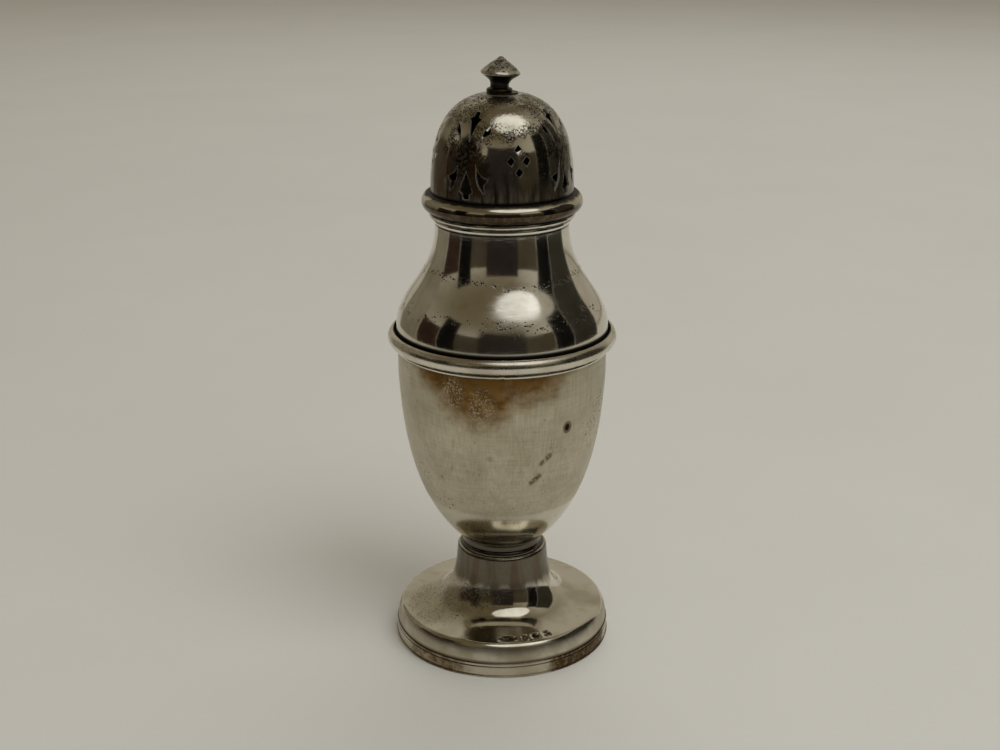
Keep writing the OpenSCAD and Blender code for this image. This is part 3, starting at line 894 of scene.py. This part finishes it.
def punch_foot(mesh, outside):
    """Four blank cushion-shaped punches in a row on the front of the foot."""
    row = min(outside, key=lambda p: abs(p.x - PUNCH_ROW_R))
    level, upright = cos(FOOT_PUNCH_RISE), sin(FOOT_PUNCH_RISE)
    for v in mesh.vertices:
        r = hypot(v.co.x, v.co.y)
        if abs(r - row.x) > 2 * MM or abs(v.co.z - row.y) > 2 * MM or v.co.y > 0:
            continue
        way = Vector((v.co.x / r * level, v.co.y / r * level, upright))
        along = (row.x - r) / upright
        for middle, wide, tall in PUNCHES:
            across = row.x * (atan2(v.co.x, -v.co.y) - asin(middle / row.x))
            edge = (abs(across / (wide / 2)) ** 4 + abs(along / (tall / 2)) ** 4) ** 0.25
            sunk = 1 - min(1, max(0, (edge - 0.72) / 0.4))
            v.co -= way * (PUNCH_DEPTH * sunk * sunk * (3 - 2 * sunk))


def make_stem_collar(finish):
    foot = FOOT_TOP_R - FOOT_TOP_ROUND
    waist = foot - COLLAR_COVE
    cove = smooth_curve(
        (foot, FOOT_TOP_Z + COLLAR_LIP), (-1, 0.3), (waist, BOWL_SEAT_Z - COLLAR_LIP), (0, 1), COLLAR_PULL, 14,
    )
    outline = [at(STEM_BORE_R, FOOT_TOP_Z), at(foot, FOOT_TOP_Z)] + cove
    outline += [at(waist, BOWL_SEAT_Z), at(STEM_BORE_R, BOWL_SEAT_Z)]
    seat(turned_piece("stem_collar_turned", outline, finish), "body", "stem_collar")


def make_bowl():
    outside = bowl_line()
    floor, bore = BOWL_SEAT_Z + SHEET, BOWL_R - SHEET
    edge, edge_h = 0.12 * MM, MOUTH_Z - 0.3 * MM
    inside = [p for p in inside_of(outside) if floor < p.y < MOUTH_Z - 0.1 * MM]
    outline = [at(0, BOWL_SEAT_Z), at(BOWL_SEAT_R * 0.5, BOWL_SEAT_Z)] + outside[:-1]
    outline += eased([(BOWL_R, edge_h), (BOWL_R, MOUTH_Z, edge), (bore, MOUTH_Z, edge), (bore, edge_h)], 3)[1:-1]
    outline += thinned(inside, 44)[::-1]
    outline += [at(inside[0].x - SHEET, floor), at(inside[0].x * 0.5, floor), at(0, floor)]
    piece = turned_piece("bowl_spun", outline, satin_bowl_finish(), WORKED_FACETS, closed=False)
    dent_bowl(piece.data)
    seat(piece, "body", "bowl")


# Dents of the bowl: turn in degrees, then radius, height, half width and half height in millimetres,
# lean in radians and depth in millimetres
BOWL_DENTS = (
    (*BOWL_PIT, 0.75, 0.95, 0.0, 0.34),
    (*BOWL_DINGS[0], 0.55, 1.7, 0.75, 0.16),
    (*BOWL_DINGS[1], 0.55, 1.7, 0.75, 0.16),
    (*BOWL_SHALLOW, 0.9, 1.1, 0.0, 0.06),
    (-55.0, 25.5, 58.0, 3.5, 4.5, 0.3, 0.10),
    (14.0, 26.5, 64.0, 5.0, 6.0, 0.2, 0.08),
    (120.0, 26.0, 61.0, 4.0, 5.0, -0.4, 0.12),
    (-160.0, 26.6, 66.0, 1.0, 1.6, 0.5, 0.16),
)


def dent_bowl(mesh):
    """A deep pit with a raised ring, two slanting dings and a few soft hollows."""
    dents = []
    for turn, radius, z, wide, tall, lean, depth in BOWL_DENTS:
        spot = Vector(round_the_axis(radians(turn), radius * MM, z * MM))
        dents.append((spot, radians(turn), wide * MM, tall * MM, lean, depth * MM))
    for v in mesh.vertices:
        r = hypot(v.co.x, v.co.y)
        if r < 10 * MM:
            continue
        for spot, turn, wide, tall, lean, depth in dents:
            if (v.co - spot).length > 3 * max(wide, tall):
                continue
            across = r * (atan2(v.co.x, -v.co.y) - turn)
            up = v.co.z - spot.z
            across, up = across * cos(lean) - up * sin(lean), across * sin(lean) + up * cos(lean)
            far = hypot(across / wide, up / tall)
            push = depth * exp(-far * far * 1.4)
            push -= 0.14 * depth * exp(-((far - 1.7) / 0.4) ** 2)
            pressed_in(v, r, push)


def pressed_in(v, r, depth):
    """Moves a point at one radius straight towards the axis."""
    v.co.x -= depth * v.co.x / r
    v.co.y -= depth * v.co.y / r


def wire(node, name, inner, outer, finish, facets=RING_FACETS):
    return turned_piece(name, half_round_outline(inner, outer, *edges_of(node)), finish, facets)


def make_girdle_reed():
    finish = ring_finish("girdle_reed_silver", CLEAN, edges_of("girdle_reed"), (0.35, 0.35), roughness=0.2)
    piece = wire("girdle_reed", "girdle_reed_wire", BOWL_R, REED_R, finish, SHELL_FACETS)
    # a nick in its front
    for v in piece.data.vertices:
        r = hypot(v.co.x, v.co.y)
        if r > BOWL_R + 0.05 * MM:
            turn = atan2(v.co.x, -v.co.y)
            pressed_in(v, r, REED_NICK * exp(-((turn + 0.002) / 0.012) ** 2))
    seat(piece, "body", "girdle_reed")


def make_bowl_rim():
    middle = at(RIM_R - RIM_ROUND, MOUTH_Z + RIM_RISE)
    inner = SHOULDER_R + RIM_GAP
    start = -acos(max(-1, (BOWL_R - middle.x) / RIM_ROUND))
    end = acos((inner - middle.x) / RIM_ROUND)
    outline = arc(middle, RIM_ROUND, start, end, 40) + [at(inner, MOUTH_Z), at(BOWL_R, MOUTH_Z)]
    finish = ring_finish(
        "bowl_rim_silver", CLEAN, edges_of("bowl_rim"), (0.8, 0.12), roughness=0.24, black_inside=inner + 0.25 * MM,
    )
    piece = turned_piece("bowl_rim_moulding", outline, finish, SHELL_FACETS)
    seat(piece, "body", "bowl_rim")


# Pieces of the cover

def make_cover_bezel():
    z_low, z_high = edges_of("cover_bezel")
    inner = BEZEL_R - BEZEL_WALL
    outline = eased([
        (inner, z_low, 0.2 * MM), (BEZEL_R, z_low, 0.25 * MM), (BEZEL_R, z_high), (inner, z_high, 0.2 * MM),
    ])
    piece = turned_piece("cover_bezel_sleeve", outline, bezel_finish(), SHELL_FACETS)
    seat(piece, "cover", "cover_bezel")


def make_shoulder():
    outside = shoulder_line()
    grip = high("cover_bezel")
    inside = [p for p in inside_of(outside) if grip < p.y < DOME_Z]
    outline = outside + [at(NECK_R - SHEET, DOME_Z)] + thinned(inside, 40)[::-1]
    outline += [at(inside[0].x, grip), at(BEZEL_R, grip), at(BEZEL_R, MOUTH_Z)]
    piece = turned_piece("shoulder_spun", outline, bright_shoulder_finish(), SHELL_FACETS)
    seat(piece, "cover", "shoulder")


def make_neck_wire():
    finish = ring_finish("neck_wire_silver", BRIGHT, edges_of("neck_wire"), (0.3, 0.55), film=0.2)
    piece = wire("neck_wire", "neck_wire_turned", NECK_R, NECK_WIRE_R, finish)
    seat(piece, "cover", "neck_wire")


def make_neck_ring():
    finish = ring_finish("neck_ring_silver", CLEAN, edges_of("neck_ring"), (0.6, 0.6), film=0.4)
    piece = wire("neck_ring", "neck_ring_turned", NECK_R, NECK_RING_R, finish)
    seat(piece, "cover", "neck_ring")


def make_dome_girdle():
    finish = ring_finish(
        "dome_girdle_silver", (0.66, 0.61, 0.50), (DOME_Z, SKIRT_Z), (1.2, 0.8), shade_below=DOME_Z + 2.7 * MM,
    )
    outline = half_round_outline(DOME_R, DOME_GIRDLE_R, DOME_Z, SKIRT_Z, 32)
    seat(turned_piece("dome_girdle_wire", outline, finish), "cover", "dome_girdle")


# Outlines of the pierced leaves in millimetres: distance from the spray's middle line and height.
# The first two are halves, and the others are cut on both sides. A third number of 1 keeps a corner sharp.
FLEUR = (
    (0, 139.2, 1), (0.5, 141.4), (0.92, 142.9), (1.3, 143.75), (1.9, 144.35, 1), (1.2, 144.6), (0.74, 144.95, 1),
    (0.8, 145.35), (0.66, 145.75), (0, 145.95),
)
FLAME = (
    (0, 125.4), (0.75, 125.5), (0.95, 126.0), (0.98, 126.7, 1), (1.9, 127.3, 1), (1.45, 128.6), (0.8, 130.4),
    (0, 132.4, 1),
)
UPPER_LEAF = (
    (2.5, 137.7, 1), (2.6, 139.2), (2.85, 140.6), (3.3, 141.9), (4.1, 142.9), (5.05, 143.4, 1), (4.75, 142.5),
    (4.95, 141.5, 1), (4.1, 140.75), (3.35, 140.3, 1), (2.95, 139.2),
)
LOWER_LEAF = (
    (2.4, 134.1, 1), (2.75, 130.8), (3.5, 128.6), (4.75, 127.0, 1), (5.0, 127.3), (4.75, 128.6), (4.7, 129.4, 1),
    (5.3, 129.9), (5.65, 130.6, 1), (4.8, 131.0), (3.7, 131.7), (2.9, 132.9),
)
SPRAYS = 4
SPRAY_TURN = radians(-29.5)
SPRAY_TURNS = [SPRAY_TURN + tau * i / SPRAYS for i in range(SPRAYS)]
# Lozenges between two sprays: turn from the spray, height of the group, and places and corners from its middle
LOZENGE_TURN = radians(43)
LOZENGE_Z = DOME_Z + 15.4 * MM
LOZENGES = ((-1.95, 0), (1.95, 0), (0, -2.7), (0, 2.7))
LOZENGE_CORNERS = ((-1.0, 0), (0, -1.25), (1.0, 0), (0, 1.25))
# Engraved knot of each spray: height, half width, half height and depth
KNOT_Z = 135.7 * MM
KNOT_SIZE = (2.6 * MM, 4.1 * MM)
KNOT_DEPTH = 0.06 * MM
# Distance that the finial stands left of the axis, and its lean to the right
FINIAL_SHIFT = 0.7 * MM
FINIAL_LEAN = radians(3)


def leaf_outline(points, fine=5):
    """A closed outline that runs smoothly through its points and turns sharply at the marked ones."""
    count = len(points)
    spots = [Vector(p[:2]) * MM for p in points]
    line = []
    for i in range(count):
        a, b = spots[i], spots[(i + 1) % count]
        sharp_a = len(points[i]) > 2
        sharp_b = len(points[(i + 1) % count]) > 2
        before = a if sharp_a else spots[i - 1]
        after = b if sharp_b else spots[(i + 2) % count]
        leave = (b - before) * 0.5
        arrive = (after - a) * 0.5
        for k in range(fine):
            t = k / fine
            line.append(
                a * (2 * t ** 3 - 3 * t * t + 1) + leave * (t ** 3 - 2 * t * t + t)
                + b * (3 * t * t - 2 * t ** 3) + arrive * (t ** 3 - t * t)
            )
    return line


def whole_leaf(half):
    return tuple(half) + tuple((-p[0], *p[1:]) for p in half[-2:0:-1])


def mirrored(points):
    return tuple((-p[0], *p[1:]) for p in points)[::-1]


def cutter(name, outlines):
    """Prisms that run outwards from inside the dome, towards the front."""
    shape = bmesh.new()
    for line in outlines:
        near = [shape.verts.new((p.x, -CROWN_R, p.y)) for p in line]
        face = shape.faces.new(near)
        grown = bmesh.ops.extrude_face_region(shape, geom=[face])
        moved = [e for e in grown["geom"] if isinstance(e, bmesh.types.BMVert)]
        bmesh.ops.translate(shape, verts=moved, vec=(0, -(DOME_R + 1 * MM - CROWN_R), 0))
    bmesh.ops.recalc_face_normals(shape, faces=shape.faces)
    mesh = bpy.data.meshes.new(name)
    shape.to_mesh(mesh)
    shape.free()
    return put(name, mesh)


def lozenge_outlines():
    middles = [at(x * MM, LOZENGE_Z + up * MM) for x, up in LOZENGES]
    return [[middle + Vector(corner) * MM for corner in LOZENGE_CORNERS] for middle in middles]


def engraved_depth(across, up):
    """Depth of the worn chasing in the knot of a spray, at a distance from the knot's middle."""
    far = hypot(across / KNOT_SIZE[0], up / KNOT_SIZE[1])
    if far > 1:
        return 0.0
    ridges = 0.5 + 0.5 * sin(across / (0.19 * MM)) * cos(up / (0.3 * MM))
    return KNOT_DEPTH * (1 - far ** 4) * (0.35 + 0.65 * ridges)


def make_dome():
    outside = straight((DOME_R, DOME_Z), (DOME_R, SKIRT_Z), 6)[:-1] + dome_line(DOME_R, CROWN_Z - SKIRT_Z, 104)
    inside = dome_line(DOME_R - SHEET, CROWN_Z - SHEET - SKIRT_Z, 34)
    outline = outside + [at(PEG_R, CROWN_Z), at(PEG_R, CROWN_Z - SHEET)]
    outline += inside[::-1] + [at(DOME_R - SHEET, DOME_Z)]
    finish = tarnished_dome_finish()
    piece = turned_piece("dome_pierced", outline, finish, WORKED_FACETS)
    engrave_dome(piece.data)
    uncut = piece.data.copy()
    spray = cutter("spray_cutter", [leaf_outline(shape) for shape in (
        whole_leaf(FLEUR), whole_leaf(FLAME), UPPER_LEAF, mirrored(UPPER_LEAF), LOWER_LEAF, mirrored(LOWER_LEAF),
    )])
    lozenges = cutter("lozenge_cutter", lozenge_outlines())
    shaped(
        piece, PIERCING, Spray_cutter=spray, Lozenge_cutter=lozenges, Sprays_round=SPRAYS,
        Spray_turn=SPRAY_TURN, Lozenge_turn=SPRAY_TURN + LOZENGE_TURN, Finish=finish,
    )
    for tool in (spray, lozenges):
        bpy.data.objects.remove(tool)
    dress_dome(piece.data, uncut, finish)
    bpy.data.meshes.remove(uncut)
    seat(piece, "cover", "dome", crease=0)


def engrave_dome(mesh):
    """Sinks the knots of the sprays into the outside of the dome."""
    for v in mesh.vertices:
        r = hypot(v.co.x, v.co.y)
        if r < dome_radius_at(v.co.z) - 0.2 * MM or abs(v.co.z - KNOT_Z) > KNOT_SIZE[1]:
            continue
        turn = atan2(v.co.x, -v.co.y)
        for knot in SPRAY_TURNS:
            swing = (turn - knot + pi) % tau - pi
            pressed_in(v, r, engraved_depth(r * swing, v.co.z - KNOT_Z))


def dress_dome(mesh, uncut, outer_finish):
    """Keeps the spun surface's shading round the holes, with cut edges painted bright as a highlight and an inside
    painted dark as shade.
    """
    mesh.materials.clear()
    for finish in (outer_finish, pierced_edge_finish(), inner_dome_finish()):
        mesh.materials.append(finish)
    tree = kdtree.KDTree(len(uncut.vertices))
    for i, v in enumerate(uncut.vertices):
        tree.insert(v.co, i)
    tree.balance()
    ways = [Vector(n.vector) for n in uncut.vertex_normals]
    normals = [None] * len(mesh.loops)
    for face in mesh.polygons:
        face.use_smooth = True
        nearest = ways[tree.find(face.center)[1]]
        wall = face.normal.dot(nearest) < 0.75
        outer = nearest.dot(Vector((face.center.x, face.center.y, 0.3 * abs(face.center.x)))) > 0
        face.material_index = 1 if wall else (0 if outer else 2)
        for loop in face.loop_indices:
            spot = mesh.vertices[mesh.loops[loop].vertex_index].co
            way = ways[tree.find(spot)[1]]
            normals[loop] = face.normal if wall or way.dot(face.normal) < 0.6 else way
    mesh.normals_split_custom_set(normals)
    edges = mesh.attributes.new(CUT_EDGE, "FLOAT", "POINT")
    for face in mesh.polygons:
        if face.material_index == 1:
            for i in face.vertices:
                edges.data[i].value = 1.0


def make_finial_collar(finish):
    outline = eased([
        (PEG_R, CROWN_Z), (WASHER_R, CROWN_Z, 0.1 * MM), (WASHER_R, FINIAL_Z, 0.15 * MM), (PEG_R, FINIAL_Z),
    ])
    seat(turned_piece("finial_collar_washer", outline, finish), "cover", "finial_collar")


def make_finial(finish):
    base_r, base_top = 3.25 * MM, FINIAL_Z + 0.7 * MM
    waist = at(2.3 * MM, FINIAL_Z + 1.6 * MM)
    brim = at(BRIM_R, FINIAL_Z + 4.5 * MM)
    brim_top = brim + at(0, 0.35 * MM)
    tip, turn = 1.2 * MM, radians(50)
    crest = arc(at(0, TIP_Z - tip), tip, turn, pi / 2, 8)
    head = smooth_curve(brim_top, (-0.75, 1), crest[0], (-sin(turn), cos(turn)), (0.35, 0.35), 22)
    peg_end = low("finial")
    outline = [at(0, peg_end), at(PEG_R, peg_end), at(PEG_R, FINIAL_Z)]
    outline += eased([
        (PEG_R, FINIAL_Z), (base_r, FINIAL_Z, 0.2 * MM), (base_r, base_top, 0.2 * MM),
        (base_r - 0.3 * MM, base_top + 0.3 * MM),
    ])[1:-1]
    outline += smooth_curve((base_r - 0.1 * MM, base_top + 0.1 * MM), (-1, 1), waist, (0, 1), (0.5, 0.6), 12)
    outline += smooth_curve(waist, (0, 1), brim, (1, 0.9), (0.42, 0.3), 18)[1:-2]
    outline += eased([
        (brim.x - 0.3 * MM, brim.y - 0.27 * MM), (brim.x, brim.y, 0.12 * MM), (brim.x, brim_top.y, 0.14 * MM),
        (brim.x - 0.22 * MM, brim_top.y + 0.3 * MM),
    ])[1:-1]
    outline += [p for p in head if p.y > brim_top.y + 0.2 * MM] + crest[1:]
    piece = turned_piece("finial_turned", outline, finish, closed=False)
    lean_finial(piece.data, base_top, brim_top.y + 0.25 * MM)
    seat(piece, "cover", "finial")


def lean_finial(mesh, base_top, head_z):
    """Bends the finial a little to the right above its base and roughens its corroded head."""
    lean = Matrix.Rotation(FINIAL_LEAN, 3, "Y")
    foot = Vector((0, 0, FINIAL_Z))
    for v in mesh.vertices:
        if v.co.z <= FINIAL_Z - 0.01 * MM:
            continue
        if v.co.z > head_z:
            rough = noise.noise(v.co * 900) * 0.09 * MM + noise.noise(v.co * 2300) * 0.05 * MM
            side = Vector((v.co.x, v.co.y, 0))
            if side.length > 0.4 * MM:
                v.co += side.normalized() * min(0, rough - 0.03 * MM)
        share = min(1, max(0, (v.co.z - base_top) / (2 * MM)))
        v.co = v.co.lerp(foot + lean @ (v.co - foot), share)
        v.co.x -= FINIAL_SHIFT
        v.co.z = min(v.co.z, TIP_Z)


# The stage: floor, dark cards round it, lamps and camera

# Turn and half width in degrees, distance and height in metres, and colour of each card
DARK_CARDS = {
    "card_front": (0, 25, 0.46, 0.36, (0.042, 0.034, 0.036)),
    "card_front_left": (-38, 13, 0.46, 0.26, (0.085, 0.074, 0.056)),
    "card_black_left": (-61, 10.5, 0.46, 0.42, (0.004, 0.004, 0.004)),
    "card_left": (-86, 14, 0.47, 0.28, (0.045, 0.027, 0.021)),
    "card_far_left": (-120, 19, 0.47, 0.46, (0.32, 0.297, 0.243)),
    "card_front_right": (41, 16, 0.46, 0.28, (0.110, 0.095, 0.070)),
    "card_black_right": (69, 11.5, 0.46, 0.46, (0.008, 0.008, 0.008)),
    "card_right": (100, 19, 0.47, 0.50, (0.065, 0.062, 0.053)),
}
# Place, aim, two widths, watts and colour of each lamp, and whether the silver mirrors it
LAMPS = {
    "front_lamp": ((0.3, -0.5, 1.1), (0.3, -0.5, 0), (1.1, 0.9), 2.1, (0.97, 0.99, 1.0), True),
    "right_lamp": ((0.8, -0.75, 1.4), (0, 0, 0), (1.2, 1.2), 6.0, (1.0, 0.99, 0.97), False),
    "back_lamp": ((0.3, 1.2, 1.3), (0, 0.1, 0), (1.9, 1.0), 5.0, (1.0, 0.99, 0.97), False),
}
FLOOR_R = 6.0
# Colours of the room low down, overhead, and at the right and behind
ROOM_LOW = (0.40, 0.37, 0.30, 1)
ROOM_HIGH = (0.115, 0.092, 0.052, 1)
ROOM_ASIDE = (0.37, 0.34, 0.275, 1)
# The camera that was fitted to the photo
CAMERA_LENS = 52.36
CAMERA_PLACE = (-0.00055, -0.3652, 0.2029)
CAMERA_DIP = 19.375


def pale_floor():
    f = Finish("pale_table", (0.895, 0.90, 0.88), 0.75, metallic=0.0, specular=0.15)
    f.shade(f.cloud(120), 0.96, 1.03)
    f.shade(f.cloud(1.5, detail=2), 0.985, 1.015)
    mesh = bpy.data.meshes.new("table_top")
    shape = bmesh.new()
    bmesh.ops.create_circle(shape, cap_ends=True, segments=96, radius=FLOOR_R)
    shape.to_mesh(mesh)
    shape.free()
    mesh.materials.append(f.done())
    put("table_top", mesh)


def dark_card(name, turn, half, near, height, tone, steps=12):
    """An upright curved card that the silver mirrors and the camera doesn't see."""
    points, faces = [], []
    for i in range(steps + 1):
        a = radians(turn - half + 2 * half * i / steps)
        points += [round_the_axis(a, near, 0.0), round_the_axis(a, near, height)]
    for i in range(steps):
        faces.append((2 * i, 2 * i + 2, 2 * i + 3, 2 * i + 1))
    mesh = bpy.data.meshes.new(name)
    mesh.from_pydata(points, [], faces)
    f = Finish(name, tone, 0.9, metallic=0.0, specular=0.0)
    f.shade(f.cloud(80, detail=2), 0.8, 1.2)
    mesh.materials.append(f.done())
    card = put(name, mesh)
    card.visible_camera = card.visible_diffuse = card.visible_shadow = False


def lamp(name, place, aim, size, watts, colour, in_silver):
    """A soft panel of light, which the silver mirrors or which only lights the table."""
    data = bpy.data.lights.new(name, "AREA")
    data.shape = "ELLIPSE"
    data.size, data.size_y = size
    data.energy = watts
    data.color = colour
    panel = put(name, data)
    panel.location = place
    panel.rotation_euler = (Vector(aim) - Vector(place)).to_track_quat("-Z", "Y").to_euler()
    panel.visible_glossy = in_silver


def soft_room():
    world = bpy.data.worlds.new("soft_room")
    bpy.context.scene.world = world
    world.use_nodes = True
    room = Nodes(world.node_tree)
    room.tree.nodes.clear()
    x, y, z = room.add("ShaderNodeSeparateXYZ", _0=room.add("ShaderNodeTexCoord")["Generated"])
    tone = room.mix(room.ramp(z, 0.05, 0.75), ROOM_LOW, ROOM_HIGH)
    tone = room.mix(room.ramp(room.math("MAXIMUM", x, y), 0.15, 0.85), tone, ROOM_ASIDE)
    glow = room.add("ShaderNodeBackground", Color=tone, Strength=1.0)[0]
    room.add("ShaderNodeOutputWorld", _0=glow)


def photo_camera():
    data = bpy.data.cameras.new("front_camera")
    data.sensor_width = 36.0
    data.lens = CAMERA_LENS
    data.clip_start = 0.01
    data.clip_end = 50
    cam = put("front_camera", data)
    cam.location = CAMERA_PLACE
    cam.rotation_euler = (radians(90 - CAMERA_DIP), 0, 0)
    bpy.context.scene.camera = cam


photo_camera()
soft_room()
pale_floor()
for card_name, card_values in DARK_CARDS.items():
    dark_card(card_name, *card_values)
for lamp_name, lamp_values in LAMPS.items():
    lamp(lamp_name, *lamp_values)

FOOT_FINISH = foot_finish()
FINIAL_FINISH = finial_finish()
make_foot_rim_band()
make_foot_shell(FOOT_FINISH)
make_stem_collar(FOOT_FINISH)
make_bowl()
make_girdle_reed()
make_bowl_rim()
make_cover_bezel()
make_shoulder()
make_neck_wire()
make_neck_ring()
make_dome_girdle()
make_dome()
make_finial(FINIAL_FINISH)
make_finial_collar(FINIAL_FINISH)

bpy.context.scene.view_settings.view_transform = "Standard"
bpy.context.view_layer.update()
